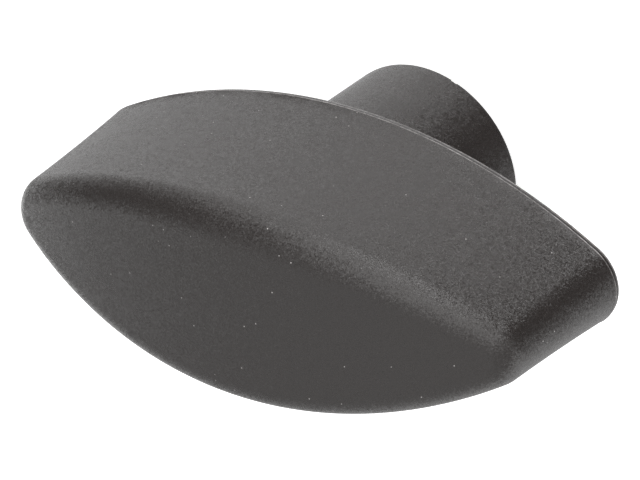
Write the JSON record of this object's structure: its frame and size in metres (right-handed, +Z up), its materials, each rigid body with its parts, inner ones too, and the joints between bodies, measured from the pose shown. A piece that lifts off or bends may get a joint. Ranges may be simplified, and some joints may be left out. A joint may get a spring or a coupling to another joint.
{
  "type": "wing nut",
  "caption": "Moulded plastic wing nut with a domed, boat-shaped grip, a round boss and a blind threaded metal insert, tightened by hand on a stud.",
  "frame": {"origin": "centre of the insert's clamping face, on the screw axis", "axes": "+Z up the screw axis from the clamping face to the top of the grip, +X along the wings, +Y across the grip"},
  "size_m": [0.06, 0.023, 0.0355],
  "materials": {
    "charcoal_technopolymer": "matt, with the fine grain of a spark-eroded mould",
    "brass": "turned, slightly dulled"
  },
  "bodies": {
    "root": {"grip_body": "charcoal_technopolymer", "threaded_insert": "brass"}
  },
  "joints": []
}
